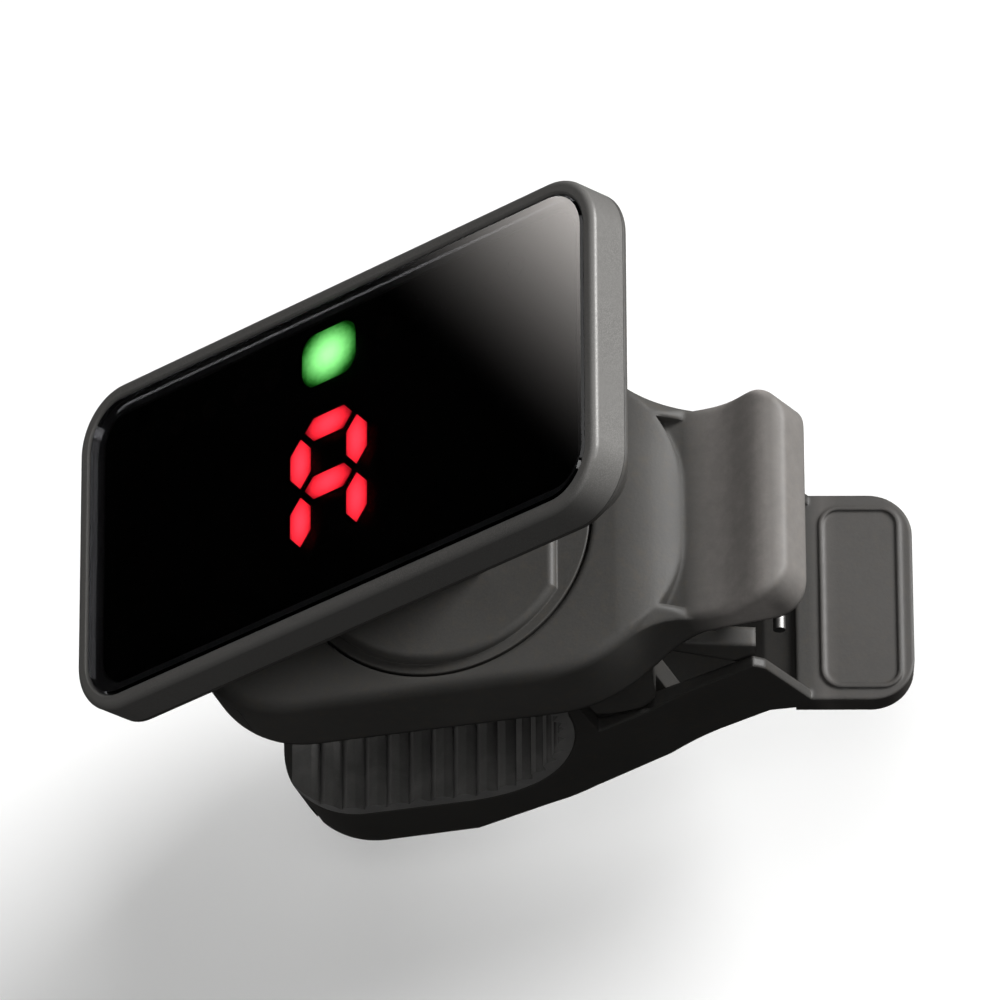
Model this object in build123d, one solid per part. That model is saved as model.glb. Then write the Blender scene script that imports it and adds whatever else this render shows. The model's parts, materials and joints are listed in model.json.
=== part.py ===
from build123d import *
import os
from math import atan2, cos, degrees, radians, sin

# Clip-on instrument tuner, millimetres.
# Z = 0 is the gripping face of the upper pad, and the Z axis is the swivel axis of the head.
# X runs from the jaw tips (-X) to the two finger tabs (+X); Y runs along the edge that is gripped.

# Clamp, set with its jaws open on a 14 mm board
GRIP = 14.0
JAW_HALF = 11.7
TIP_X = -18.5
TIP_R = 8.0
HEEL_X = 16.5
HEEL_R = 10.0
HOUSING_Z = 0.9
TOP_Z = 7.0
PAD_T = 0.88

# Upper finger tab
TAB_HALF = 7.8
TAB_END = 24.1
TAB_LIP = 24.8
TAB_R = 2.4
TAB_RIB_X = (21.4, 22.2)
TAB_EDGE = 0.5
TAB_UNDER = 2.6
NECK_R = 7.0

# Pivot of the lower jaw
PIVOT_X = 8.2
PIVOT_Z = -4.7
PIN_R = 1.2
PIN_Y = -7.3
EAR_R = 3.5
EAR_IN = 6.35
EAR_OUT = 7.9
EAR_SLOT = 8.05
FIN_IN = 5.4
FIN_OUT = 6.8
LUG_R = 3.2
LUG_IN = 4.3
LUG_OUT = 6.1

# Lower jaw
LOWER_HALF = 9.8
LOWER_TAB_HALF = 7.7
LOWER_TAB_KINK = (21.3, -10.2)
LOWER_TAB_TIP = (28.1, -12.2)
LOWER_TAB_T = 1.7
LOWER_TAB_R = 3.0
LOWER_EDGE = 0.9
LOWER_PAD_T = 1.15
WALL_IN = 7.0
THROAT_X = -4.6
THROAT_R = 9.1
THROAT_TOP_Z = -2.7
TOOTH_TURN = 9.6
TOOTH_RISE = 1.1
TOOTH_DEPTH = 0.5
GROOVE_X = -5.4
GROOVE_PITCH = 1.6

# Torsion spring
WIRE_R = 0.42
COIL_R = 1.95
COIL_PITCH = 1.1
COIL_LOOPS = 6
LOWER_LEG_DEG = -47.0
LOWER_LEG_L = 9.7
UPPER_LEG_DEG = 27.4
UPPER_LEG_X = 21.8
UPPER_LEG_Y = -7.2

# Swivel
DISC_R = 10.5
POCKET_R = 10.72
FLANGE_R = 11.02
FLANGE_TOP = 6.05
FLANGE_Z = 5.55
SHELF_Z = 5.3
D_PLATE_R = 9.8
D_PLATE_X = 8.2
D_PLATE_H = 0.7
WIRE_HOLE_R = 1.6

# Head, drawn flat about its hinge axis and then tilted
TILT_X = 1.7
TILT_Z = 12.7
TILT_DEG = 29.3
TILT_PIN_R = 1.0
CHEEK_IN = 2.3
CHEEK_OUT = 3.7
CHEEK_R = 3.1
CHEEK_FOOT = (-3.4, 3.4)
KNUCKLE_HALF = 2.0
HEAD_L = 49.6
HEAD_W = 24.2
HEAD_R = 4.2
HEAD_BACK = 5.2
HEAD_SPLIT = 7.4
HEAD_FRONT = 10.2
HEAD_TAPER = 1.9
WINDOW_L = 47.6
WINDOW_W = 22.2
WINDOW_R = 3.2
WINDOW_T = 1.0
BOARD_T = 0.8
HEAD_SCREW_U = 21.2
HEAD_SCREW_V = 8.5
BUTTON_U = 13.5
BUTTON_R = 2.4

# Lit note: a seven-segment figure without its lowest bar
NOTE_U = -0.75
NOTE_V = -2.05
NOTE_W = 5.4
NOTE_H = 4.3
UPRIGHT = (3.7, 2.0)
LEVEL = (4.6, 1.7)
LAMP_V = 7.4
LAMP_L = 5.2
LAMP_W = 3.9
LAMP_CORNER = 1.3
METER_PITCH = 3.1
METER_COUNT = 5
METER_R = 0.8
MASK_LOW = 8.42
MASK_HIGH = HEAD_FRONT - WINDOW_T - 0.05

# Coin cell
CELL_R = 10.0
CELL_T = 3.2
CELL_X = -6.0
CELL_Z = 1.72
TRAY_HALF = 10.4

FIT = 0.05


def prism(points, half, radii=0.0):
    """Closed XZ outline, extruded to both sides of Y = 0."""
    wire = FilletPolyline(*[(x, 0, z) for x, z in points], radius=radii, close=True)
    return extrude(make_face(wire), half, dir=(0, 1, 0), both=True)


def slab(length, width, radius, z_low, z_high, x=0.0, y=0.0):
    """Rounded rectangular plate between two heights."""
    face = Location((x, y, z_low)) * RectangleRounded(length, width, radius)
    return extrude(face, z_high - z_low)


def rod(radius, z_low, z_high, x=0.0, y=0.0):
    """Upright cylinder between two heights."""
    return Pos(x, y, (z_low + z_high) / 2) * Cylinder(radius, z_high - z_low)


def bar_y(radius, y_low, y_high, x, z):
    """Cylinder along Y between two places."""
    return Pos(x, (y_low + y_high) / 2, z) * Rot(90, 0, 0) * Cylinder(radius, y_high - y_low)


def block(x_low, x_high, y_low, y_high, z_low, z_high):
    """Box between two corners."""
    centre = ((x_low + x_high) / 2, (y_low + y_high) / 2, (z_low + z_high) / 2)
    return Pos(*centre) * Box(x_high - x_low, y_high - y_low, z_high - z_low)


def both_sides(shape):
    """The shape and its mirror image across Y = 0."""
    return shape + mirror(shape, Plane.XZ)


def jaw_plan(z_low, z_high, inset=0.0):
    """Plan of the upper jaw: rounded tip, rounder heel."""
    half = JAW_HALF - inset
    corners = [
        (TIP_X + inset, -half),
        (HEEL_X - inset, -half),
        (HEEL_X - inset, half),
        (TIP_X + inset, half),
    ]
    radii = [TIP_R - inset, HEEL_R - inset, HEEL_R - inset, TIP_R - inset]
    face = make_face(FilletPolyline(*corners, radius=radii, close=True))
    return extrude(Pos(0, 0, z_low) * face, z_high - z_low)


def tilted(shape):
    """Puts a head piece, drawn about the hinge axis, at its rest tilt."""
    return Location((TILT_X, 0, TILT_Z), (0, -TILT_DEG, 0)) * shape


def upper_tab():
    """Finger tab with a valley behind the housing and a raised rounded end."""
    valley = [(15.0, 0, 4.9), (17.0, 0, 4.93), (19.7, 0, 5.5)]
    crest = [(21.6, 0, 6.75), (22.8, 0, 7.2), (TAB_END, 0, 6.75)]
    top = Spline(*valley, *crest, tangents=((1, 0, 0), (1, 0, -0.75)))
    under = Spline(
        *[(TAB_LIP, 0, 4.3), (24.0, 0, 3.7), (21.5, 0, 3.2), (18.5, 0, 2.8), (15.0, 0, TAB_UNDER)],
        tangents=((-0.5, 0, -1), (-1, 0, 0)),
    )
    outline = [
        Line((12.0, 0, 4.9), top @ 0),
        top,
        Line(top @ 1, under @ 0),
        under,
        Line(under @ 1, (12.0, 0, TAB_UNDER)),
        Line((12.0, 0, TAB_UNDER), (12.0, 0, 4.9)),
    ]
    tab = extrude(Pos(0, -TAB_HALF, 0) * make_face(outline), 2 * TAB_HALF, dir=(0, 1, 0))
    ends = [e for e in tab.edges() if e.center().X > 24.0 and e.length < 4.0 and abs(e.center().Y) > 7.0]
    tab = fillet(ends, TAB_R)
    rim = [e for e in tab.edges() if e.center().Z > 4.6 and e.center().X > 12.1]
    rim = [e for e in rim if abs((e @ 0).Z - (e @ 1).Z) < 2.3]
    rim = [e for e in rim if e.center().X > 16.0 or e.length < 4.0]
    tab = fillet(rim, TAB_EDGE)
    return tab + block(*TAB_RIB_X, -6.0, 6.0, 0.75, 3.6)


def neck():
    """Hollow curve that leads from the round heel into the side of the finger tab."""
    heel_x = HEEL_X - HEEL_R
    heel_y = HEEL_R - JAW_HALF
    centre_y = -TAB_HALF - NECK_R
    reach = HEEL_R + NECK_R
    centre_x = heel_x + (reach**2 - (heel_y - centre_y) ** 2) ** 0.5
    start = (
        heel_x + (centre_x - heel_x) * HEEL_R / reach,
        heel_y + (centre_y - heel_y) * HEEL_R / reach,
    )
    turn = (90.0 + degrees(atan2(start[1] - centre_y, start[0] - centre_x))) / 2
    middle = (centre_x + NECK_R * cos(radians(turn)), centre_y + NECK_R * sin(radians(turn)))
    end = (centre_x, -TAB_HALF)
    curve = ThreePointArc(start, middle, end)
    back = Polyline(end, (centre_x, -7.0), (12.0, -7.0), (12.0, -9.0), start)
    web = extrude(make_face([curve, back]), TOP_Z)
    side = [(11.5, HOUSING_Z), (13.5, HOUSING_Z), (17.6, TAB_UNDER + 0.1), (17.6, TOP_Z), (11.5, TOP_Z)]
    slope = Plane((start[0], start[1], TOP_Z - 0.8), z_dir=(0.467, -0.481, 0.742))
    return web & prism(side, JAW_HALF) & (slope.location * Pos(0, 0, -20.0) * Box(60.0, 60.0, 40.0))


def ear():
    """Pivot ear under the housing."""
    outline = [
        (PIVOT_X - EAR_R + 0.25, HOUSING_Z + 1.0),
        (PIVOT_X - EAR_R, PIVOT_Z),
        (PIVOT_X + EAR_R, PIVOT_Z),
        (12.1, -2.6),
        (13.4, 0.6),
        (13.4, HOUSING_Z + 1.0),
    ]
    half = (EAR_OUT - EAR_IN) / 2
    plate = prism(outline, half) + bar_y(EAR_R, -half, half, PIVOT_X, PIVOT_Z)
    return Pos(0, -(EAR_IN + EAR_OUT) / 2, 0) * plate


def fin():
    """Arm under the finger tab that guides the lever between its walls."""
    outline = [(13.4, 1.9), (13.4, -1.5), (17.9, -5.0), (18.7, -5.0), (19.4, -2.7), (14.9, -0.8), (14.9, 1.9)]
    return Pos(0, -(FIN_IN + FIN_OUT) / 2, 0) * prism(outline, (FIN_OUT - FIN_IN) / 2)


def upper_housing():
    """Upper jaw shell: cell bay, swivel pocket, finger tab and pivot ears."""
    shell = jaw_plan(HOUSING_Z, TOP_Z)
    shell = fillet(shell.faces().sort_by(Axis.Z)[-1].edges(), 0.8)
    shell += both_sides(neck())
    shoulder = [
        ThreePointArc((11.8, 0, TOP_Z + 0.02), (14.5, 0, 6.43), (16.7, 0, 4.8)),
        Line((16.7, 0, 4.8), (20.0, 0, 4.8)),
        Line((20.0, 0, 4.8), (20.0, 0, 9.0)),
        Line((20.0, 0, 9.0), (11.8, 0, 9.0)),
        Line((11.8, 0, 9.0), (11.8, 0, TOP_Z + 0.02)),
    ]
    shell -= extrude(make_face(shoulder), 15.0, dir=(0, 1, 0), both=True)
    shell += upper_tab()
    shell += both_sides(ear())
    shell += both_sides(fin())
    bay = block(TIP_X - 1.0, 4.7, -TRAY_HALF - FIT, TRAY_HALF + FIT, CELL_Z - 0.02, SHELF_Z - 0.35)
    bay += block(4.6, 11.6, -5.0, 5.0, CELL_Z, 4.7)
    shell -= bay
    shell += both_sides(rod(1.5, CELL_Z - 0.02, SHELF_Z, 2.6, 8.6))
    shell -= both_sides(rod(0.52, 1.0, 4.6, 2.6, 8.6))
    floor_seat = block(TIP_X + 1.2, 4.7, -20.0, 20.0, 0.0, CELL_Z)
    shell -= jaw_plan(0.0, CELL_Z - 0.02, 1.2) & floor_seat
    shell -= rod(FLANGE_R + FIT, SHELF_Z, FLANGE_TOP + FIT)
    shell -= rod(POCKET_R, SHELF_Z, TOP_Z + 0.1)
    shell -= rod(WIRE_HOLE_R, 4.0, SHELF_Z + 0.1)
    shell -= bar_y(PIN_R + 0.01, PIN_Y, JAW_HALF, PIVOT_X, PIVOT_Z)
    return shell


def jaw_floor():
    """Cover under the cell bay."""
    room = block(TIP_X, 4.65, -20.0, 20.0, HOUSING_Z, CELL_Z - 0.05)
    plate = jaw_plan(HOUSING_Z, CELL_Z - 0.05, 1.25) & room
    plate -= both_sides(rod(0.65, 0.0, 2.0, 2.6, 8.6))
    return plate - both_sides(rod(1.2, 0.0, HOUSING_Z + 0.45, 2.6, 8.6))


def floor_screws():
    """Two small screws that hold the cover."""
    screw = rod(1.12, HOUSING_Z + 0.02, HOUSING_Z + 0.44, 2.6, 8.6)
    screw += rod(0.5, HOUSING_Z + 0.4, 4.4, 2.6, 8.6)
    screw -= block(1.9, 3.3, 8.45, 8.75, 0.8, HOUSING_Z + 0.25)
    return both_sides(screw)


def upper_pad():
    """Rubber pad on the upper jaw, with cross grooves."""
    pad = jaw_plan(0.0, PAD_T, 1.4) & block(TIP_X, 4.4, -20.0, 20.0, 0.0, PAD_T)
    for groove_x in (-14.5, -11.5, -8.5, -5.5, -2.5):
        pad -= block(groove_x - 0.3, groove_x + 0.3, -20.0, 20.0, -0.1, 0.22)
    return pad - rod(6.1, PAD_T - 0.3, 1.0, -9.0)


def piezo_disc():
    """Vibration pickup between the pad and the cover."""
    return rod(6.0, PAD_T - 0.27, PAD_T + 0.01, -9.0)


def battery_tray():
    """Drawer that brings the coin cell out of the jaw tip."""
    room = block(TIP_X, -1.0, -TRAY_HALF, TRAY_HALF, CELL_Z + FIT, SHELF_Z - 0.4)
    tray = jaw_plan(CELL_Z + FIT, SHELF_Z - 0.4) & room
    tray -= rod(CELL_R + 0.08, 0.0, TOP_Z, CELL_X)
    return tray - block(TIP_X - 0.2, TIP_X + 0.5, -3.0, 3.0, 3.9, 6.0)


def coin_cell():
    """Lithium coin cell with its stepped negative cap."""
    low = CELL_Z + FIT
    cell = rod(CELL_R, low + 0.6, low + CELL_T - 0.1, CELL_X)
    return cell + rod(CELL_R - 1.2, low, low + 0.6, CELL_X)


def cell_contact_plus():
    """Sprung strip that meets the rim of the cell."""
    strip = block(4.08, 4.3, -3.0, 3.0, 2.4, 4.4)
    return strip + block(4.3, 6.0, -1.0, 1.0, 4.2, 4.4)


def cell_contact_minus():
    """Strip at the open end of the bay that meets the step of the negative cap."""
    strip = block(2.86, 6.0, -1.0, 1.0, 1.8, 2.0)
    return strip + block(2.86, 3.04, -1.0, 1.0, 1.8, 2.3)


def contact_board():
    """Small circuit board behind the cell."""
    return block(6.05, 6.85, -4.8, 4.8, CELL_Z + 0.05, 4.6)


def swivel_washer():
    """Spring washer under the turntable."""
    return rod(10.6, SHELF_Z + 0.03, FLANGE_Z - 0.04) - rod(8.6, SHELF_Z, FLANGE_Z)


def cheek():
    """One side of the hinge fork on the turntable."""
    base_z = TOP_Z + D_PLATE_H - 0.1
    outline = [
        (TILT_X - CHEEK_R, TILT_Z),
        (CHEEK_FOOT[0], base_z),
        (CHEEK_FOOT[1], base_z),
        (TILT_X + CHEEK_R, TILT_Z),
    ]
    half = (CHEEK_OUT - CHEEK_IN) / 2
    plate = prism(outline, half) + bar_y(CHEEK_R, -half, half, TILT_X, TILT_Z)
    return Pos(0, -(CHEEK_IN + CHEEK_OUT) / 2, 0) * plate


def swivel_disc():
    """Turntable with its raised D-shaped plate and the hinge fork."""
    disc = rod(FLANGE_R, FLANGE_Z, FLANGE_TOP) + rod(DISC_R, FLANGE_Z, TOP_Z)
    plate = rod(D_PLATE_R, TOP_Z - 0.1, TOP_Z + D_PLATE_H)
    plate -= block(D_PLATE_X, 12.0, -12.0, 12.0, TOP_Z - 1.0, TOP_Z + 2.0)
    plate = fillet(plate.faces().sort_by(Axis.Z)[-1].edges(), 0.5)
    disc += plate
    disc += both_sides(cheek())
    disc -= rod(WIRE_HOLE_R, FLANGE_Z - 1.0, TOP_Z + 2.0)
    return disc - bar_y(TILT_PIN_R + 0.015, -6.0, 6.0, TILT_X, TILT_Z)


def tilt_pin():
    """Hinge pin of the head, with a low round head."""
    pin = bar_y(TILT_PIN_R, -CHEEK_OUT - 0.5, CHEEK_OUT + 0.75, TILT_X, TILT_Z)
    return pin + bar_y(1.8, -CHEEK_OUT - 0.8, -CHEEK_OUT - 0.02, TILT_X, TILT_Z)


def tilt_clip():
    """Retaining ring on the far end of the hinge pin."""
    ring = bar_y(2.0, CHEEK_OUT + 0.05, CHEEK_OUT + 0.5, TILT_X, TILT_Z)
    return ring - bar_y(TILT_PIN_R + 0.01, CHEEK_OUT, CHEEK_OUT + 1.0, TILT_X, TILT_Z)


def tilt_washers():
    """Friction washers, one each side of the knuckle."""
    washer = bar_y(2.7, -CHEEK_IN + 0.03, -KNUCKLE_HALF - 0.03, TILT_X, TILT_Z)
    washer -= bar_y(TILT_PIN_R + 0.05, -6.0, 0.0, TILT_X, TILT_Z)
    return both_sides(washer)


def four_corners(shape_at):
    """The same small shape at the head's four corners."""
    return [shape_at(su * HEAD_SCREW_U, sv * HEAD_SCREW_V) for su in (-1, 1) for sv in (-1, 1)]


def head_rear_cover():
    """Tapered back of the head with the hinge knuckle."""
    cover = slab(HEAD_L, HEAD_W, HEAD_R, HEAD_BACK, HEAD_SPLIT - 0.02)
    cover = chamfer(cover.faces().sort_by(Axis.Z)[0].edges(), HEAD_TAPER)
    pocket = slab(HEAD_L - 5.4, HEAD_W - 5.4, 2.0, HEAD_BACK + 0.9, HEAD_SPLIT)
    for boss in four_corners(lambda u, v: rod(1.7, HEAD_BACK, HEAD_SPLIT, u, v)):
        pocket -= boss
    cover -= pocket
    knuckle = bar_y(CHEEK_R, -KNUCKLE_HALF, KNUCKLE_HALF, 0, 0)
    knuckle += block(-CHEEK_R, CHEEK_R, -KNUCKLE_HALF, KNUCKLE_HALF, 0, HEAD_BACK + 0.2)
    cover += knuckle
    cover -= bar_y(TILT_PIN_R + FIT, -4.0, 4.0, 0, 0)
    for hole in four_corners(lambda u, v: rod(0.6, 4.0, 8.0, u, v) + rod(1.1, 4.0, HEAD_BACK + 0.75, u, v)):
        cover -= hole
    cover -= rod(BUTTON_R + 0.1, 4.0, 7.0, BUTTON_U)
    return tilted(cover)


def head_bezel():
    """Front frame of the head, with a ledge under the window."""
    frame = slab(HEAD_L, HEAD_W, HEAD_R, HEAD_SPLIT, HEAD_FRONT)
    frame = fillet(frame.faces().sort_by(Axis.Z)[-1].edges(), 0.45)
    ledge_top = HEAD_FRONT - WINDOW_T - 0.02
    frame -= slab(WINDOW_L, WINDOW_W, WINDOW_R, ledge_top, HEAD_FRONT + 1.0)
    inner = frame.faces().sort_by(Axis.Z)[-1].inner_wires()[0]
    frame = chamfer(inner.edges(), 0.15)
    frame -= slab(WINDOW_L - 2.0, WINDOW_W - 2.0, WINDOW_R - 1.0, HEAD_SPLIT, HEAD_FRONT)
    under = slab(WINDOW_L, WINDOW_W, WINDOW_R, HEAD_SPLIT - 1.0, ledge_top - 0.8)
    frame -= under
    room = slab(WINDOW_L + 0.4, WINDOW_W + 0.4, WINDOW_R, HEAD_SPLIT, ledge_top)
    for boss in four_corners(lambda u, v: rod(1.9, HEAD_SPLIT, ledge_top - 0.79, u, v)):
        frame += boss & room
    for hole in four_corners(lambda u, v: rod(0.52, HEAD_SPLIT - 1.0, ledge_top - 0.2, u, v)):
        frame -= hole
    return tilted(frame)


def display_window():
    """Smoked front window, set flush in the frame."""
    low = HEAD_FRONT - WINDOW_T
    pane = slab(WINDOW_L - 0.1, WINDOW_W - 0.1, WINDOW_R - FIT, low, HEAD_FRONT - 0.03)
    return tilted(chamfer(pane.faces().sort_by(Axis.Z)[-1].edges(), 0.15))


def segment_places():
    """Centre and turn of each lit bar of the note figure."""
    half_w = NOTE_W / 2
    places = [(NOTE_U, NOTE_V + NOTE_H, 0), (NOTE_U, NOTE_V, 0)]
    places += [(NOTE_U + side * half_w, NOTE_V + NOTE_H / 2, 90) for side in (-1, 1)]
    places += [(NOTE_U + side * half_w, NOTE_V - NOTE_H / 2, 90) for side in (-1, 1)]
    return places


def segment(length, thickness, z_low, z_high):
    """Long hexagonal light pipe with pointed ends."""
    tip = length / 2
    flank = tip - thickness * 0.5
    side = thickness / 2
    points = [(-tip, 0), (-flank, -side), (flank, -side), (tip, 0), (flank, side), (-flank, side)]
    face = make_face(FilletPolyline(*points, radius=0.12, close=True))
    return extrude(Pos(0, 0, z_low) * face, z_high - z_low)


def note_shapes(grow, z_low, z_high):
    """All lit bars of the note, each grown by the same margin."""
    bars = []
    for u, v, turn in segment_places():
        length, thickness = UPRIGHT if turn else LEVEL
        shape = segment(length + grow, thickness + grow, z_low, z_high)
        bars.append(Location((u, v, 0), (0, 0, turn)) * shape)
    return bars


def lamp_shape(grow, z_low, z_high):
    """Rounded in-tune lamp above the note, grown by a margin."""
    return slab(LAMP_L + grow, LAMP_W + grow, LAMP_CORNER, z_low, z_high, NOTE_U, LAMP_V)


def meter_places():
    """Row of small lamps each side of the note."""
    steps = [LAMP_L / 2 + 2.8 + METER_PITCH * i for i in range(METER_COUNT)]
    return [(NOTE_U + side * step, LAMP_V) for side in (-1, 1) for step in steps]


def light_mask():
    """Black mask with one opening for each lamp."""
    mask = slab(WINDOW_L - 2.3, WINDOW_W - 2.3, WINDOW_R - 1.2, MASK_LOW, MASK_HIGH)
    for bar in note_shapes(0.06, MASK_LOW - 1, MASK_HIGH + 1):
        mask -= bar
    mask -= lamp_shape(0.06, MASK_LOW - 1, MASK_HIGH + 1)
    for u, v in meter_places():
        mask -= rod(METER_R + 0.03, MASK_LOW - 1, MASK_HIGH + 1, u, v)
    return tilted(mask)


def note_segments():
    """Light pipes of the lit note."""
    return tilted(Compound(note_shapes(0.0, MASK_LOW + 0.32, MASK_HIGH)))


def in_tune_lamp():
    """Green lamp above the note."""
    return tilted(lamp_shape(0.0, MASK_LOW + 0.32, MASK_HIGH))


def meter_lamps():
    """Unlit flat and sharp lamps."""
    lamps = [rod(METER_R, MASK_LOW + 0.32, MASK_HIGH, u, v) for u, v in meter_places()]
    return tilted(Compound(lamps))


def led_chips():
    """Light-emitting chips under the pipes."""
    places = [(u, v) for u, v, turn in segment_places()] + [(NOTE_U, LAMP_V)] + meter_places()
    top = MASK_LOW + 0.3
    low = HEAD_SPLIT + 0.05 + BOARD_T
    return tilted(Compound([block(u - 0.4, u + 0.4, v - 0.25, v + 0.25, low, top) for u, v in places]))


def led_board():
    """Main circuit board of the head."""
    low = HEAD_SPLIT + 0.05
    board = slab(WINDOW_L - 2.6, WINDOW_W - 2.6, 1.5, low, low + BOARD_T - 0.02)
    for notch in four_corners(lambda u, v: rod(2.0, low - 1, low + 2, u, v)):
        board -= notch
    return tilted(board)


def tuner_chip():
    """Signal processor on the back of the board."""
    return tilted(slab(5.0, 5.0, 0.2, HEAD_SPLIT - 0.75, HEAD_SPLIT + 0.04, -10.0))


def tact_switch():
    """Switch behind the power button."""
    return tilted(slab(4.4, 4.4, 0.4, HEAD_SPLIT - 0.52, HEAD_SPLIT + 0.04, BUTTON_U))


def power_button():
    """Round push button in the back of the head."""
    inner = HEAD_BACK + 0.92
    button = rod(BUTTON_R, HEAD_BACK - 0.6, inner + 0.1, BUTTON_U)
    button = fillet(button.faces().sort_by(Axis.Z)[0].edges(), 0.35)
    return tilted(button + rod(BUTTON_R + 0.7, inner, inner + 0.28, BUTTON_U))


def head_screws():
    """Four screws that hold the back of the head."""

    def screw(u, v):
        body = rod(1.04, HEAD_BACK + 0.1, HEAD_BACK + 0.73, u, v) + rod(0.5, HEAD_BACK + 0.7, 8.1, u, v)
        cross = block(u - 0.7, u + 0.7, v - 0.14, v + 0.14, HEAD_BACK, HEAD_BACK + 0.4)
        cross += block(u - 0.14, u + 0.14, v - 0.7, v + 0.7, HEAD_BACK, HEAD_BACK + 0.4)
        return body - cross

    return tilted(Compound(four_corners(screw)))


def pivot_pin():
    """Steel pin through both jaws, pressed in from the far side."""
    return bar_y(PIN_R, PIN_Y + 0.05, EAR_OUT - 0.15, PIVOT_X, PIVOT_Z)


def torsion_spring():
    """Coil round the pivot pin; one leg presses the lower floor, the hooked one the upper tab."""
    start = 90.0 + LOWER_LEG_DEG
    end = UPPER_LEG_DEG - 90.0
    length = COIL_PITCH * (COIL_LOOPS - (start - end) / 360.0)
    place = Pos(PIVOT_X, length / 2, PIVOT_Z) * Rot(0, -start, 0) * Rot(90, 0, 0)
    coil = place * Helix(COIL_PITCH, length, COIL_R)
    foot = coil @ 0 - (coil % 0) * LOWER_LEG_L
    bend = coil @ 1 + (coil % 1) * ((UPPER_LEG_X - (coil @ 1).X) / (coil % 1).X)
    hook = FilletPolyline(coil @ 1, bend, (bend.X, UPPER_LEG_Y, bend.Z), radius=1.0)
    path = Wire(Line(foot, coil @ 0).edges() + coil.edges() + hook.edges())
    return sweep(Plane(path @ 0, z_dir=path % 0) * Circle(WIRE_R), path=path)


def throat_line(offset):
    """Gripping curve of the lower jaw, from its raised ends to its tip, moved into the jaw by an offset."""
    centre_z = -GRIP + THROAT_R
    reach = THROAT_R + offset
    slant = 0.3
    top = (THROAT_X + reach + slant, 0, THROAT_TOP_Z)
    level = (THROAT_X + reach, 0, centre_z)
    bend = (THROAT_X + reach * cos(radians(-45.0)), 0, centre_z + reach * sin(radians(-45.0)))
    foot = (THROAT_X, 0, -GRIP - offset)
    return [Line(top, level), ThreePointArc(level, bend, foot)]


def side_outline():
    """Outline of the lower jaw's side walls."""
    throat = throat_line(LOWER_PAD_T)
    foot = throat[1] @ 1
    points = [
        (-16.6, foot.Z),
        (-18.3, -16.6),
        (-18.3, -18.8),
        (-16.2, -20.6),
        (-5.0, -20.4),
        (1.0, -17.8),
        (4.5, -16.5),
        (10.1, -15.2),
        (18.2, -11.6),
        (21.3, -11.9),
        (21.3, -10.2),
        (19.6, -4.4),
        (18.9, -3.7),
        (10.6, -7.6),
        (6.8, -8.2),
        (6.4, THROAT_TOP_Z),
    ]
    return throat + [Polyline(foot, *[(x, 0, z) for x, z in points], throat[0] @ 0)]


def lower_plan():
    """Plan of the lower jaw: wide at the tip, narrower at the finger tab."""
    half = [(22.0, LOWER_TAB_HALF), (12.6, 7.9), (3.0, LOWER_HALF), (-18.3, LOWER_HALF)]
    near = [(x, -y) for x, y in half]
    far = [(x, y) for x, y in reversed(half)]
    radii = [0, 20.0, 20.0, 6.5, 6.5, 20.0, 20.0, 0]
    face = make_face(FilletPolyline(*near, *far, radius=radii, close=True))
    return extrude(Pos(0, 0, -30.0) * face, 40.0)


def lower_tab():
    """Lower finger tab with its raised border."""
    run = LOWER_TAB_TIP[0] - LOWER_TAB_KINK[0]
    drop = LOWER_TAB_KINK[1] - LOWER_TAB_TIP[1]
    slope = degrees(atan2(drop, run))
    length = (run**2 + drop**2) ** 0.5 + 1.0
    place = Location((LOWER_TAB_KINK[0], 0, LOWER_TAB_KINK[1]), (0, slope, 0))
    plate = block(-1.0, length - 1.0, -LOWER_TAB_HALF, LOWER_TAB_HALF, -LOWER_TAB_T, 0)
    plate = fillet([e for e in plate.edges().filter_by(Axis.Z) if e.center().X > 0], LOWER_TAB_R)
    rim_l = length - 2.5
    rim = slab(rim_l, 2 * LOWER_TAB_HALF - 1.7, 1.4, -0.1, 0.16, rim_l / 2 + 0.7)
    rim -= slab(rim_l - 0.6, 2 * LOWER_TAB_HALF - 2.3, 1.1, -1.0, 1.0, rim_l / 2 + 0.7)
    return place * (plate + rim)


def lower_jaw():
    """Lower jaw lever: side walls, floor, pivot lugs and finger tab."""
    lever = extrude(make_face(side_outline()), LOWER_HALF + 1.0, dir=(0, 1, 0), both=True)
    lever &= lower_plan()
    under = [f for f in lever.faces() if f.normal_at().Z < -0.3]
    rim = [e for f in under for e in f.edges() if abs(e.center().Y) > 0.5]
    lever = fillet(rim, LOWER_EDGE)
    trough = [(7.0, 0.0), (7.0, -12.4), (8.4, -13.9), (18.0, -10.4), (21.6, -10.3), (21.6, 0.0)]
    lever -= prism(trough, WALL_IN)
    lug = prism([(5.3, PIVOT_Z), (5.3, -13.2), (11.6, -13.4), (11.2, PIVOT_Z)], (LUG_OUT - LUG_IN) / 2)
    lug += bar_y(LUG_R, -(LUG_OUT - LUG_IN) / 2, (LUG_OUT - LUG_IN) / 2, PIVOT_X, PIVOT_Z)
    lever -= bar_y(EAR_R + 0.35, -EAR_SLOT, EAR_SLOT, PIVOT_X, PIVOT_Z)
    lever -= block(0.0, PIVOT_X, -EAR_SLOT, EAR_SLOT, PIVOT_Z - 0.2, 0.0)
    lever += both_sides(Pos(0, -(LUG_IN + LUG_OUT) / 2, 0) * lug)
    lever += lower_tab()
    hollow = prism([(-16.8, -25.0), (-16.8, -17.4), (-3.4, -17.2), (1.6, -15.4), (4.0, -25.0)], 7.9)
    hollow -= block(-20.0, 6.0, -0.6, 0.6, -26.0, -10.0)
    hollow -= block(-10.2, -9.0, -9.0, 9.0, -26.0, -10.0)
    lever -= hollow
    return lever - bar_y(PIN_R + FIT, -7.0, 7.0, PIVOT_X, PIVOT_Z)


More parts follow.
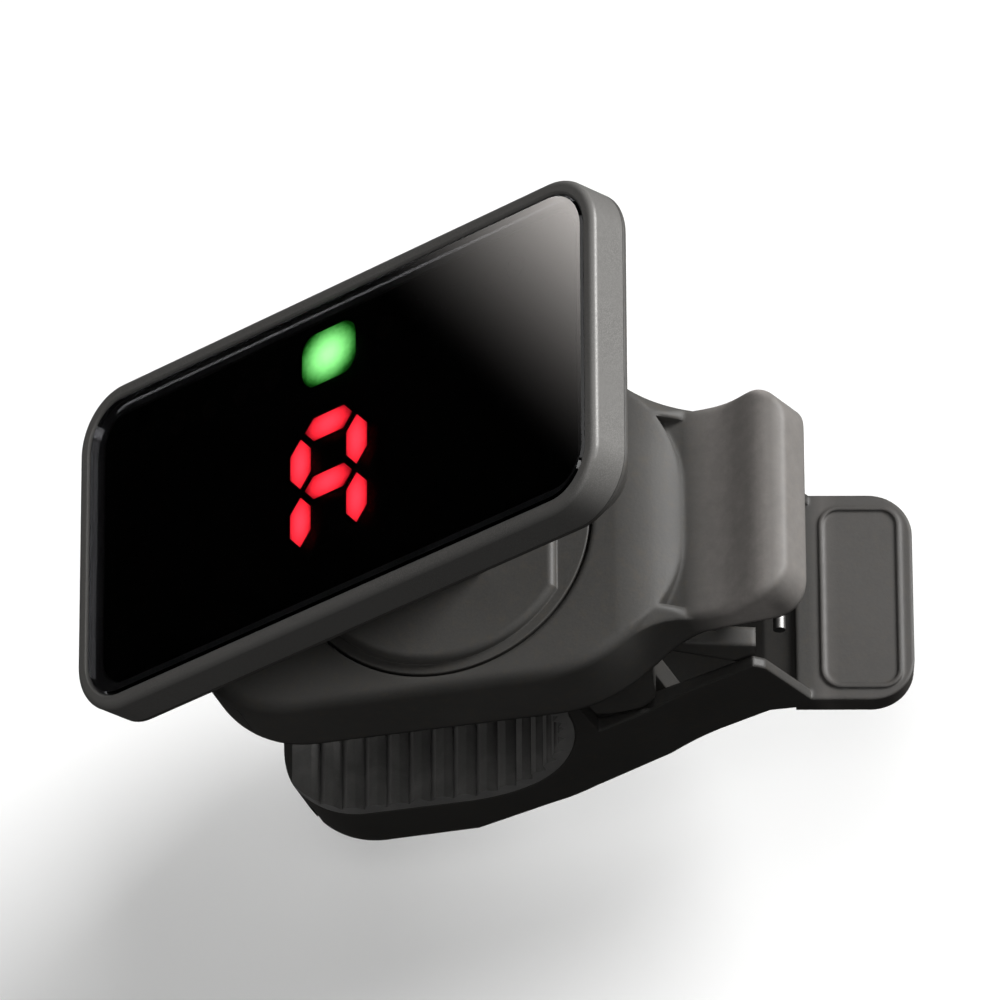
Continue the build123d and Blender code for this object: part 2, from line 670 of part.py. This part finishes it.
def lower_pad():
    """Serrated rubber pad that follows the throat and the lower jaw."""
    inner = throat_line(0.0)
    outer = throat_line(LOWER_PAD_T - 0.02)
    end = Polyline(inner[1] @ 1, (-16.9, 0, -GRIP), (-16.9, 0, (outer[1] @ 1).Z), outer[1] @ 1)
    outline = inner + [end] + outer + [Line(outer[0] @ 0, inner[0] @ 0)]
    pad = extrude(make_face(outline), LOWER_HALF + 1.0, dir=(0, 1, 0), both=True)
    pad &= lower_plan()
    pad -= bar_y(EAR_R + 0.75, -EAR_SLOT, EAR_SLOT, PIVOT_X, PIVOT_Z)
    pad -= block(0.0, PIVOT_X, -EAR_SLOT, EAR_SLOT, PIVOT_Z - 0.2, 0.0)
    notch = Rot(0, 45, 0) * Box(TOOTH_DEPTH * 2**0.5, 30.0, TOOTH_DEPTH * 2**0.5)
    for step in range(3):
        pad -= Pos(THROAT_X + THROAT_R + 0.02, 0, THROAT_TOP_Z - 0.5 - TOOTH_RISE * step) * notch
    for step in range(9):
        angle = radians(-8.0 - TOOTH_TURN * step)
        reach = THROAT_R + 0.02
        centre = (THROAT_X + reach * cos(angle), 0, -GRIP + THROAT_R + reach * sin(angle))
        pad -= Location(centre, (0, -degrees(angle), 0)) * notch
    for step in range(7):
        pad -= Pos(GROOVE_X - GROOVE_PITCH * step, 0, -GRIP) * notch
    return pad


PARTS = {
    "upper_housing": upper_housing,
    "jaw_floor": jaw_floor,
    "floor_screws": floor_screws,
    "upper_pad": upper_pad,
    "piezo_disc": piezo_disc,
    "battery_tray": battery_tray,
    "coin_cell": coin_cell,
    "cell_contact_plus": cell_contact_plus,
    "cell_contact_minus": cell_contact_minus,
    "contact_board": contact_board,
    "swivel_washer": swivel_washer,
    "swivel_disc": swivel_disc,
    "tilt_pin": tilt_pin,
    "tilt_clip": tilt_clip,
    "tilt_washers": tilt_washers,
    "head_rear_cover": head_rear_cover,
    "head_bezel": head_bezel,
    "display_window": display_window,
    "light_mask": light_mask,
    "note_segments": note_segments,
    "in_tune_lamp": in_tune_lamp,
    "meter_lamps": meter_lamps,
    "led_chips": led_chips,
    "led_board": led_board,
    "tuner_chip": tuner_chip,
    "tact_switch": tact_switch,
    "power_button": power_button,
    "head_screws": head_screws,
    "pivot_pin": pivot_pin,
    "torsion_spring": torsion_spring,
    "lower_jaw": lower_jaw,
    "lower_pad": lower_pad,
}

os.makedirs("parts", exist_ok=True)
for name, build in PARTS.items():
    export_step(build(), f"parts/{name}.step")
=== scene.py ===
import json
from math import cos, pi, radians, sin

import bmesh
import bpy
from mathutils import Matrix, Vector


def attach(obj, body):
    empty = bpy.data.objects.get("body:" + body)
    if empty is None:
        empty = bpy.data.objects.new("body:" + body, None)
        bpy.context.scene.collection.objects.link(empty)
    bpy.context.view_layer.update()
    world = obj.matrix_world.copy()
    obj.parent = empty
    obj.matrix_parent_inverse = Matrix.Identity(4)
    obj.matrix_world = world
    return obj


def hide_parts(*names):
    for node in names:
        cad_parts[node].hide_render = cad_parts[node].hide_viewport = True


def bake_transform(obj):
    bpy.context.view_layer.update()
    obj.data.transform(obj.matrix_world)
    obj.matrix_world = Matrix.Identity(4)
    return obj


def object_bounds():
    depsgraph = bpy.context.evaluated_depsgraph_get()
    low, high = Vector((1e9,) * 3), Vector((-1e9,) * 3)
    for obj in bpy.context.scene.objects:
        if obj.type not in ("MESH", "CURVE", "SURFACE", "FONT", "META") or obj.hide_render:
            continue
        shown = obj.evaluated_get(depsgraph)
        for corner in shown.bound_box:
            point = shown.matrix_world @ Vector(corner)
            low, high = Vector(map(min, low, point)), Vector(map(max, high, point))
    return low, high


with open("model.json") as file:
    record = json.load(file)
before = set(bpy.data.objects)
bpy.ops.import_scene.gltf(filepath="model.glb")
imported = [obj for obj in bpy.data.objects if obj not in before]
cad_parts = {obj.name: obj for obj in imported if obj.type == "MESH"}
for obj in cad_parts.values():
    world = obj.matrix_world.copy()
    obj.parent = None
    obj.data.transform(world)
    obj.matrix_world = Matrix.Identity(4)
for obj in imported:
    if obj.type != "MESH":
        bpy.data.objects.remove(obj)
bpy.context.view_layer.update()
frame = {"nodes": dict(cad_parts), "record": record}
nodes = frame["nodes"]
MM = 0.001

# Head, as in the CAD: drawn flat about its hinge axis, then tilted (mm and degrees)
TILT_X, TILT_Z, TILT_DEG = 1.7, 12.7, 29.3
HINGE = Matrix.Translation((TILT_X * MM, 0, TILT_Z * MM))
TILT = HINGE @ Matrix.Rotation(radians(-TILT_DEG), 4, "Y")

# Lit note and lamp, in the head's own plane: middle of the note, spacing of its bars, lamp
NOTE_U, NOTE_V, NOTE_W, NOTE_H = -0.75, -2.05, 5.4, 4.3
LAMP_V, LAMP_LENGTH, LAMP_WIDTH, LAMP_R = 7.4, 5.16, 3.86, 1.28
PIPE_LOW, PIPE_HIGH, PIPE_RIM = 8.75, 9.14, 0.06

# Finger tabs, painted light: where it starts and is full along X, how much paler it is, and above
# which Z
UPPER_TAB_LIGHT = (16.5, 20.0, 5.4, 2.2)
LOWER_TAB_LIGHT = (21.2, 22.2, 1.9, None)
TAB_LIGHT_FADE = 0.8
END_EDGE, END_FACE = 22.2, 23.2  # the painted light is weaker on the end faces, which the key light already lights

# Staging
JAW_DROP = 8 * MM  # the floor clears the lower jaw when it is wide open
FLOOR_SIZE = 6.0


# ---------------------------------------------------------------- materials

class Graph:
    """A material and the few node idioms that every finish here is made of."""

    def __init__(self, name):
        self.material = bpy.data.materials.new(name)
        self.material.use_nodes = True
        self.tree = self.material.node_tree
        self.tree.nodes.clear()
        self.out = self.add("ShaderNodeOutputMaterial")
        self.shader = self.add("ShaderNodeBsdfPrincipled")
        self.link(self.shader.outputs[0], self.out.inputs["Surface"])
        self.place = self.add("ShaderNodeTexCoord").outputs["Object"]
        self.normal = None

    def add(self, kind, **values):
        node = self.tree.nodes.new(kind)
        for key, value in values.items():
            setattr(node, key, value)
        return node

    def link(self, a, b):
        self.tree.links.new(a, b)

    def put(self, socket, value):
        """Links an output, or sets a plain value."""
        if hasattr(value, "links"):
            self.link(value, socket)
        else:
            socket.default_value = value

    def set(self, **values):
        for key, value in values.items():
            self.put(self.shader.inputs[key.replace("_", " ")], value)

    def math(self, kind, a, b=0.0, c=0.0):
        node = self.add("ShaderNodeMath", operation=kind)
        for socket, value in zip(node.inputs, (a, b, c)):
            self.put(socket, value)
        return node.outputs[0]

    def stretched(self, scale):
        node = self.add("ShaderNodeVectorMath", operation="MULTIPLY")
        self.link(self.place, node.inputs[0])
        node.inputs[1].default_value = scale
        return node.outputs[0]

    def noise(self, size_mm, detail=2.0, rough=0.5, stretch=(1, 1, 1), distortion=0.0):
        """Noise whose blobs are about size_mm across."""
        node = self.add("ShaderNodeTexNoise")
        self.link(self.stretched(tuple(s / (size_mm * MM) for s in stretch)), node.inputs["Vector"])
        node.inputs["Scale"].default_value = 1.0
        node.inputs["Detail"].default_value = detail
        node.inputs["Roughness"].default_value = rough
        node.inputs["Distortion"].default_value = distortion
        return node.outputs["Fac"]

    def pits(self, size_mm):
        """Cell pattern, 0 at each cell's middle."""
        node = self.add("ShaderNodeTexVoronoi")
        self.link(self.stretched((1 / (size_mm * MM),) * 3), node.inputs["Vector"])
        node.inputs["Scale"].default_value = 1.0
        return node.outputs["Distance"]

    def span(self, value, low, high, to_low=0.0, to_high=1.0):
        node = self.add("ShaderNodeMapRange", clamp=True)
        for socket, v in zip(node.inputs, (value, low, high, to_low, to_high)):
            self.put(socket, v)
        return node.outputs[0]

    def tint(self, factor, a, b):
        node = self.add("ShaderNodeMix", data_type="RGBA")
        self.put(node.inputs[0], factor)
        for socket, value in ((node.inputs[6], a), (node.inputs[7], b)):
            self.put(socket, value if hasattr(value, "links") else (*value, 1.0))
        return node.outputs[2]

    def bump(self, height, depth_mm, strength=1.0):
        node = self.add("ShaderNodeBump")
        node.inputs["Strength"].default_value = strength
        node.inputs["Distance"].default_value = depth_mm * MM
        self.link(height, node.inputs["Height"])
        if self.normal is not None:
            self.link(self.normal, node.inputs["Normal"])
        self.normal = node.outputs["Normal"]
        self.link(self.normal, self.shader.inputs["Normal"])

    def soft_edges(self, radius_mm):
        """Rounds the shading of sharp edges, as a mould does."""
        node = self.add("ShaderNodeBevel", samples=8)
        node.inputs["Radius"].default_value = radius_mm * MM
        self.normal = node.outputs["Normal"]
        self.link(self.normal, self.shader.inputs["Normal"])

    def worn_edges(self, radius_mm):
        """1 near sharp edges, 0 on open faces."""
        bevel = self.add("ShaderNodeBevel", samples=6)
        bevel.inputs["Radius"].default_value = radius_mm * MM
        plain = self.add("ShaderNodeNewGeometry").outputs["Normal"]
        dot = self.add("ShaderNodeVectorMath", operation="DOT_PRODUCT")
        self.link(bevel.outputs["Normal"], dot.inputs[0])
        self.link(plain, dot.inputs[1])
        return self.span(dot.outputs["Value"], 0.96, 0.80)


def shade(colour, factor):
    return tuple(c * factor for c in colour)


def painted_tab_light(g, from_mm, to_mm, above_mm):
    """1 where light is painted on a finger tab: beyond some X, short of its end face and, if asked,
    above some Z.
    """
    split = g.add("ShaderNodeSeparateXYZ")
    g.link(g.place, split.inputs[0])
    along = g.span(split.outputs["X"], from_mm * MM, to_mm * MM)
    end_face = g.span(split.outputs["X"], END_EDGE * MM, END_FACE * MM, 1.0, 0.4)
    tab_light = g.math("MULTIPLY", along, end_face)
    if above_mm is None:
        return tab_light
    up = g.span(split.outputs["Z"], above_mm * MM, (above_mm + TAB_LIGHT_FADE) * MM)
    return g.math("MULTIPLY", tab_light, up)


def moulded(name, colour, rough=0.5, grain_mm=0.16, depth_mm=0.006, edge_mm=0.18, tab_light=None):
    """Spark-textured plastic: fine grain, clouding, polished edges and, on a tab, patchy painted
    light.
    """
    g = Graph(name)
    g.soft_edges(edge_mm)
    cloud = g.noise(7.0, 3.0, 0.55, distortion=0.4)
    grain = g.noise(grain_mm, 3.0, 0.65)
    pits = g.pits(grain_mm * 1.7)
    fleck = g.span(grain, 0.35, 0.68)
    base = g.tint(g.span(cloud, 0.3, 0.7), shade(colour, 0.9), shade(colour, 1.1))
    base = g.tint(g.math("MULTIPLY", fleck, 0.35), base, shade(colour, 1.35))
    warm = g.span(g.noise(0.7, 4.0, 0.7), 0.5, 0.72)
    warmer = (colour[0] * 1.4, colour[1] * 1.25, colour[2] * 1.05)
    base = g.tint(g.math("MULTIPLY", warm, 0.5), base, warmer)
    # Painted light: the tab top is made paler and warmer where the light falls on it, in patches
    if tab_light:
        from_mm, to_mm, gain, above_mm = tab_light
        patchy = g.span(g.noise(0.8, 4.0, 0.7), 0.3, 0.7, 0.8, 1.0)
        warmest = (colour[0] * gain * 1.04, *shade(colour[1:], gain))
        lighter = g.tint(patchy, shade(colour, gain * 0.8), warmest)
        tab_lit = painted_tab_light(g, from_mm, to_mm, above_mm)
        base = g.tint(g.math("MULTIPLY", tab_lit, patchy), base, lighter)
    worn = g.math("MULTIPLY", g.worn_edges(0.29), g.span(g.noise(1.6, 4.0), 0.35, 0.7))
    base = g.tint(g.math("MULTIPLY", worn, 0.35), base, shade(colour, 1.9))
    roughness = g.math("ADD", rough - 0.06, g.math("MULTIPLY", grain, 0.16))
    g.set(Base_Color=base, Roughness=g.math("SUBTRACT", roughness, g.math("MULTIPLY", worn, 0.12)))
    g.shader.inputs["Specular IOR Level"].default_value = 0.2
    g.bump(pits, depth_mm, 0.5)
    g.bump(grain, depth_mm, 0.8)
    return g.material


def satin_frame(name, colour):
    """Satin metallic paint: flake under a thin clear layer, with a slight orange peel."""
    g = Graph(name)
    g.soft_edges(0.1)
    flake = g.pits(0.09)
    cloud = g.noise(5.0, 3.0, 0.5)
    base = g.tint(g.span(flake, 0.15, 0.6), shade(colour, 1.25), shade(colour, 0.82))
    base = g.tint(g.span(cloud, 0.3, 0.7), base, shade(colour, 0.94))
    worn = g.math("MULTIPLY", g.worn_edges(0.16), g.span(g.noise(1.2, 4.0), 0.3, 0.7))
    base = g.tint(g.math("MULTIPLY", worn, 0.25), base, shade(colour, 1.4))
    g.set(Base_Color=base, Roughness=g.span(g.noise(0.25, 3.0), 0.3, 0.7, 0.34, 0.46))
    g.shader.inputs["Metallic"].default_value = 0.15
    g.shader.inputs["Coat Weight"].default_value = 0.03
    g.shader.inputs["Specular IOR Level"].default_value = 0.2
    g.shader.inputs["Coat Roughness"].default_value = 0.4
    g.bump(g.noise(0.35, 2.0), 0.006, 0.5)
    g.bump(flake, 0.003, 0.4)
    return g.material


def rubber(name, colour):
    """Soft rubber: very matt, slightly dusty in its open faces, darker in its pits."""
    g = Graph(name)
    g.soft_edges(0.12)
    dust = g.noise(2.4, 5.0, 0.6, distortion=0.6)
    grain = g.noise(0.12, 3.0, 0.7)
    base = g.tint(g.span(dust, 0.42, 0.72), colour, shade(colour, 1.45))
    base = g.tint(g.math("MULTIPLY", g.span(grain, 0.5, 0.8), 0.3), base, shade(colour, 0.6))
    g.set(Base_Color=base, Roughness=g.span(dust, 0.3, 0.7, 0.68, 0.88))
    g.shader.inputs["Specular IOR Level"].default_value = 0.35
    g.shader.inputs["Sheen Weight"].default_value = 0.15
    g.bump(grain, 0.008, 0.7)
    return g.material


def metal(name, colour, rough, stretch=(1, 1, 1), grain_mm=0.12, tarnish=0.75):
    """Bare metal with tool marks along one direction and a little tarnish."""
    g = Graph(name)
    g.soft_edges(0.06)
    marks = g.noise(grain_mm, 4.0, 0.7, stretch)
    stain = g.noise(1.8, 4.0, 0.6, distortion=0.5)
    base = g.tint(g.span(stain, 0.45, 0.75), colour, shade(colour, tarnish))
    base = g.tint(g.math("MULTIPLY", g.span(marks, 0.4, 0.7), 0.3), base, shade(colour, 0.8))
    g.set(Base_Color=base, Roughness=g.math("ADD", rough - 0.05, g.math("MULTIPLY", stain, 0.12)))
    g.shader.inputs["Metallic"].default_value = 1.0
    g.bump(marks, 0.004, 0.6)
    return g.material


def smoked_glass(name):
    """Dark front window: tinted, glossy, with faint wipe marks."""
    g = Graph(name)
    smear = g.noise(9.0, 2.0, 0.5, (1, 3, 1), 1.2)
    dust = g.span(g.noise(0.3, 2.0), 0.76, 0.84)
    g.set(Base_Color=g.tint(dust, (0.36, 0.36, 0.38), (0.42, 0.42, 0.43)))
    wiped = g.span(smear, 0.45, 0.75, 0.0, 0.012)
    g.set(Roughness=g.math("ADD", wiped, g.math("MULTIPLY", dust, 0.004)))
    g.shader.inputs["Transmission Weight"].default_value = 1.0
    g.shader.inputs["IOR"].default_value = 1.49
    return g.material


def black_mask(name):
    g = Graph(name)
    grain = g.noise(0.1, 2.0)
    g.set(Base_Color=g.tint(grain, (0.004, 0.004, 0.004), (0.007, 0.007, 0.007)), Roughness=0.9)
    g.shader.inputs["Specular IOR Level"].default_value = 0.05
    g.bump(grain, 0.004, 0.5)
    return g.material


def lit(name, core, rim, strength, half_mm, power=2.2):
    """Light pipe: brightest in its middle and deeper coloured towards its rim."""
    g = Graph(name)
    scaled = g.add("ShaderNodeVectorMath", operation="MULTIPLY")
    g.link(g.place, scaled.inputs[0])
    scaled.inputs[1].default_value = (1 / (half_mm[0] * MM), 1 / (half_mm[1] * MM), 0)
    length = g.add("ShaderNodeVectorMath", operation="LENGTH")
    g.link(scaled.outputs[0], length.inputs[0])
    swirl = g.noise(0.35, 3.0, 0.6)
    uneven = g.math("MULTIPLY", g.math("SUBTRACT", swirl, 0.5), 0.16)
    reach = g.math("ADD", length.outputs["Value"], uneven)
    fall = g.math("POWER", g.math("MINIMUM", reach, 1.0), power)
    g.set(Base_Color=(*shade(rim, 0.3), 1.0), Roughness=0.5)
    g.set(Emission_Color=g.tint(fall, core, rim))
    g.set(Emission_Strength=g.math("MULTIPLY", g.math("SUBTRACT", 1.04, fall), strength))
    return g.material


def simple(name, colour, rough, spot=1.2, size_mm=0.3, **sockets):
    """Small moulded or coated piece with its own fine mottling."""
    g = Graph(name)
    mottle = g.noise(size_mm, 3.0, 0.6)
    g.set(Base_Color=g.tint(g.span(mottle, 0.35, 0.65), colour, shade(colour, spot)))
    g.set(Roughness=g.span(mottle, 0.3, 0.7, rough - 0.06, rough + 0.06), **sockets)
    g.bump(mottle, 0.005, 0.5)
    return g.material


def circuit_board(name):
    """Green solder mask with tracks showing as paler lines."""
    g = Graph(name)
    tracks = g.add("ShaderNodeTexBrick", offset=0.35, squash=1.0)
    g.link(g.stretched((900, 900, 900)), tracks.inputs["Vector"])
    tracks.inputs["Scale"].default_value = 1.0
    tracks.inputs["Mortar Size"].default_value = 0.06
    base = g.tint(tracks.outputs["Fac"], (0.012, 0.075, 0.03), (0.03, 0.16, 0.07))
    g.set(Base_Color=base, Roughness=g.span(g.noise(0.5), 0.3, 0.7, 0.28, 0.4))
    g.bump(tracks.outputs["Fac"], 0.02, 0.6)
    return g.material


SHELL = (0.047, 0.0455, 0.043)
FINISH = {
    "jaw_shell": moulded("jaw_shell", SHELL, edge_mm=0.55, tab_light=UPPER_TAB_LIGHT),
    "swivel_shell": moulded("swivel_shell", SHELL, 0.46),
    # The lever is the housing plastic made 0.7 as bright: painted shade
    "lever_shell": moulded(
        "lever_shell", shade(SHELL, 0.7), 0.42, edge_mm=0.4, tab_light=LOWER_TAB_LIGHT
    ),
    "drawer_shell": moulded("drawer_shell", shade(SHELL, 0.9), 0.52),
    "head_back": moulded("head_back", shade(SHELL, 0.95), 0.5),
    "head_frame": satin_frame("head_frame", (0.12, 0.117, 0.112)),
    "grip_rubber": rubber("grip_rubber", (0.075, 0.073, 0.07)),
    "pad_rubber": rubber("pad_rubber", (0.025, 0.025, 0.025)),
    "window_black": smoked_glass("window_black"),
    "mask_black": black_mask("mask_black"),
    "unlit_lamp": simple("unlit_lamp", (0.0045, 0.002, 0.002), 0.6, Specular_IOR_Level=0.1),
    "led_white": simple("led_white", (0.75, 0.71, 0.55), 0.45, 0.9),
    "circuit_board": circuit_board("circuit_board"),
    "chip_black": simple("chip_black", (0.012, 0.012, 0.013), 0.5, 1.6, 0.1),
    "switch_metal": metal("switch_metal", (0.55, 0.55, 0.55), 0.32, (1, 8, 1)),
    "button_plastic": moulded("button_plastic", shade(SHELL, 0.7), 0.36, 0.12, 0.003),
    "pin_steel": metal("pin_steel", (0.56, 0.55, 0.53), 0.26, (1, 14, 1)),
    "spring_steel": metal("spring_steel", (0.22, 0.216, 0.21), 0.46, (6, 1, 6)),
    "screw_black": metal("screw_black", (0.06, 0.06, 0.06), 0.38, (4, 4, 4)),
    "cell_nickel": metal("cell_nickel", (0.66, 0.65, 0.62), 0.25, (1, 1, 6)),
    "contact_brass": metal("contact_brass", (0.72, 0.5, 0.2), 0.3, (1, 6, 1)),
    "pickup_brass": metal("pickup_brass", (0.7, 0.5, 0.22), 0.32, (5, 5, 1)),
    "washer_nylon": simple("washer_nylon", (0.7, 0.68, 0.6), 0.5, 0.93),
}
BAR_RED = lit("bar_red", (1.0, 0.025, 0.04), (0.5, 0.003, 0.012), 7.0, (2.3, 1.25), 2.0)
LAMP_GREEN = lit("lamp_green", (0.34, 1.0, 0.30), (0.02, 0.4, 0.02), 4.6, (2.8, 2.2), 1.8)

for entry in frame["record"]["subparts"]:
    finish = FINISH.get(entry["material_slot"])
    if finish:
        nodes[entry["node"]].data.materials.clear()
        nodes[entry["node"]].data.materials.append(finish)


# ---------------------------------------------------------------- lit pieces under the window

def light_pipe(name, outline, place, material):
    """A flat prism with a softened top rim, between the mask and the window."""
    mesh = bmesh.new()
    verts = [mesh.verts.new((x * MM, y * MM, 0)) for x, y in outline]
    mesh.faces.new(verts)
    top = bmesh.ops.extrude_face_region(mesh, geom=mesh.faces[:])["geom"]
    for v in top:
        if isinstance(v, bmesh.types.BMVert):
            v.co.z = (PIPE_HIGH - PIPE_LOW) * MM
    bmesh.ops.recalc_face_normals(mesh, faces=mesh.faces[:])
    rim = [e for e in mesh.edges if all(v.co.z > 0 for v in e.verts)]
    bmesh.ops.bevel(mesh, geom=rim, offset=PIPE_RIM * MM, segments=2, affect="EDGES", profile=0.5)
    data = bpy.data.meshes.new(name)
    mesh.to_mesh(data)
    mesh.free()
    data.materials.append(material)
    piece = bpy.data.objects.new(name, data)
    bpy.context.scene.collection.objects.link(piece)
    u, v, turn = place
    flat = Matrix.Translation((u * MM, v * MM, PIPE_LOW * MM))
    piece.matrix_world = TILT @ (flat @ Matrix.Rotation(radians(turn), 4, "Z"))
    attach(piece, "head")
    return piece


def hexagon(length, width):
    tip, side = length / 2, width / 2
    flank = tip - side
    return [(-tip, 0), (-flank, -side), (flank, -side), (tip, 0), (flank, side), (-flank, side)]


def rounded(length, width, radius, steps=6):
    points = []
    for quarter, (sx, sy) in enumerate(((1, 1), (-1, 1), (-1, -1), (1, -1))):
        x, y = sx * (length / 2 - radius), sy * (width / 2 - radius)
        for i in range(steps + 1):
            a = pi / 2 * (quarter + i / steps)
            points.append((x + radius * cos(a), y + radius * sin(a)))
    return points


LEVEL = hexagon(4.55, 1.66)
UPRIGHT = hexagon(3.66, 1.96)
half_w = NOTE_W / 2
bars = [
    ("level_top", LEVEL, (NOTE_U, NOTE_V + NOTE_H, 0)),
    ("level_middle", LEVEL, (NOTE_U, NOTE_V, 0)),
]
for side, word in ((-1, "left"), (1, "right")):
    for up, height in ((1, "upper"), (-1, "lower")):
        place = (NOTE_U + side * half_w, NOTE_V + up * NOTE_H / 2, 90)
        bars.append((f"{height}_{word}", UPRIGHT, place))
for name, outline, place in bars:
    bar = light_pipe("note_" + name, outline, place, BAR_RED)
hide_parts("note_segments")
lens = rounded(LAMP_LENGTH, LAMP_WIDTH, LAMP_R)
lamp = light_pipe("lamp_in_tune", lens, (NOTE_U, LAMP_V, 0), LAMP_GREEN)
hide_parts("in_tune_lamp")


# ---------------------------------------------------------------- spring, copied from the CAD piece

wire = nodes["torsion_spring"].data.copy()
wire.transform(nodes["torsion_spring"].matrix_world)
spring = bpy.data.objects.new("spring_flexing", wire)
bpy.context.scene.collection.objects.link(spring)
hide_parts("torsion_spring")
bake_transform(spring)


# ---------------------------------------------------------------- floor, lights, camera

bpy.ops.mesh.primitive_plane_add(size=FLOOR_SIZE, location=(0, 0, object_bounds()[0].z - JAW_DROP))
floor = bpy.context.object
floor.name = "floor"
ground = Graph("floor_paper")
paper = ground.tint(ground.noise(40.0, 3.0), (0.86, 0.86, 0.855), (0.89, 0.89, 0.885))
ground.set(Base_Color=paper, Roughness=0.8)
floor.data.materials.append(ground.material)
floor.visible_diffuse = floor.visible_glossy = False

world = bpy.data.worlds.new("studio")
bpy.context.scene.world = world
world.use_nodes = True
sky = world.node_tree
direction = sky.nodes.new("ShaderNodeTexCoord").outputs["Generated"]


def glow(toward, low_dot, high_dot, strength):
    """Light from one side of the room: strongest toward that side, none beyond low_dot."""
    dot = sky.nodes.new("ShaderNodeVectorMath")
    dot.operation = "DOT_PRODUCT"
    dot.inputs[1].default_value = Vector(toward).normalized()
    sky.links.new(direction, dot.inputs[0])
    fade = sky.nodes.new("ShaderNodeMapRange")
    for socket, value in zip(fade.inputs[1:5], (low_dot, high_dot, 0.0, strength)):
        socket.default_value = value
    sky.links.new(dot.outputs["Value"], fade.inputs["Value"])
    return fade.outputs[0]


both = sky.nodes.new("ShaderNodeMath")
sky.links.new(glow((0.75, 0.35, 0.6), -0.3, 1.0, 0.55), both.inputs[0])
sky.links.new(glow((-0.2, 0.75, -0.62), 0.45, 0.95, 1.6), both.inputs[1])
sky.links.new(both.outputs[0], sky.nodes["Background"].inputs["Strength"])


def soft_light(name, place, size, watts, colour=(1, 1, 1), target=(0.002, 0.0, 0.006)):
    """Rectangular studio light aimed at the object."""
    data = bpy.data.lights.new(name, "AREA")
    data.shape = "RECTANGLE"
    data.size, data.size_y = size
    data.energy = watts
    data.color = colour
    light = bpy.data.objects.new(name, data)
    bpy.context.scene.collection.objects.link(light)
    light.location = place
    light.rotation_mode = "QUATERNION"
    light.rotation_quaternion = (Vector(target) - Vector(place)).to_track_quat("-Z", "Y")
    return light


soft_light("key_right", (0.78, 0.42, 0.34), (0.5, 0.5), 21.0)
soft_light("key_high", (0.27, -0.27, 0.85), (0.35, 0.35), 1.4)
soft_light("fill_front", (0.35, -0.75, 0.35), (0.6, 0.5), 1.5)
soft_light("top", (0.1, 0.35, 0.88), (0.8, 0.8), 2.6)
soft_light("fill_left", (-0.8, -0.12, 0.3), (0.4, 0.4), 1.6).visible_glossy = False


def placed(place, x, y, z):
    """Matrix that puts an object's own axes along x, y and z."""
    axes = Matrix(((x.x, y.x, z.x, 0), (x.y, y.y, z.y, 0), (x.z, y.z, z.z, 0), (0, 0, 0, 1)))
    return Matrix.Translation(place) @ axes


# The softbox hangs where the window mirrors the camera's view, 0.6 m out, and its light grows
# along its own X axis
CARD_FACING = Vector((-0.8703, 0.4395, 0.2222)).normalized()
growing = Vector((0.4771, 0.6441, 0.5948))
CARD_ALONG = (growing - CARD_FACING * growing.dot(CARD_FACING)).normalized()
CARD_ACROSS = CARD_FACING.cross(CARD_ALONG)
CARD_FADE = 2.6
CARD_COLOUR = (1.0, 0.95, 0.91, 1.0)


def fading_card(name, place, size_mm, dark_mm, light_mm, strength):
    """Small softbox seen only in gloss, whose light grows smoothly along CARD_ALONG."""
    mesh = bmesh.new()
    bmesh.ops.create_grid(mesh, x_segments=4, y_segments=4, size=0.5)
    data = bpy.data.meshes.new(name)
    mesh.to_mesh(data)
    mesh.free()
    data.transform(Matrix.Diagonal((size_mm[0] * MM, size_mm[1] * MM, 1, 1)))
    card = bpy.data.objects.new(name, data)
    bpy.context.scene.collection.objects.link(card)
    card.matrix_world = placed(place, CARD_ALONG, CARD_ACROSS, CARD_FACING)
    g = Graph(name)
    split = g.add("ShaderNodeSeparateXYZ")
    g.link(g.place, split.inputs[0])
    rise = g.math("POWER", g.span(split.outputs["X"], dark_mm * MM, light_mm * MM), CARD_FADE)
    emission = g.add("ShaderNodeEmission")
    emission.inputs["Color"].default_value = CARD_COLOUR
    g.link(g.math("MULTIPLY", rise, strength), emission.inputs["Strength"])
    g.link(emission.outputs[0], g.out.inputs["Surface"])
    data.materials.append(g.material)
    card.visible_camera = card.visible_diffuse = False
    card.visible_shadow = card.visible_transmission = False


mirrored = Vector((-0.5255, 0.2637, 0.1549))
card_place = mirrored + CARD_ALONG * 33.5 * MM - CARD_ACROSS * 5.0 * MM
fading_card("softbox_left", card_place, (33, 70), dark_mm=-16.5, light_mm=7.5, strength=7.6)

CAMERA_PLACE = (0.1906, -0.3230, 0.6526)
CAMERA_AIM = Vector((-0.24968, 0.43518, -0.86503))
CAMERA_UP = Vector((0.12516, 0.90034, 0.41681))
CAMERA_LENS = 398.06
camera_data = bpy.data.cameras.new("camera")
camera = bpy.data.objects.new("camera", camera_data)
bpy.context.scene.collection.objects.link(camera)
bpy.context.scene.camera = camera
camera_right = CAMERA_AIM.cross(CAMERA_UP).normalized()
camera.matrix_world = placed(CAMERA_PLACE, camera_right, CAMERA_UP, -CAMERA_AIM)
camera_data.sensor_width = 36.0
camera_data.lens = CAMERA_LENS
camera_data.clip_start, camera_data.clip_end = 0.01, 20.0
bpy.context.scene.view_settings.view_transform = "Standard"

bpy.context.view_layer.update()
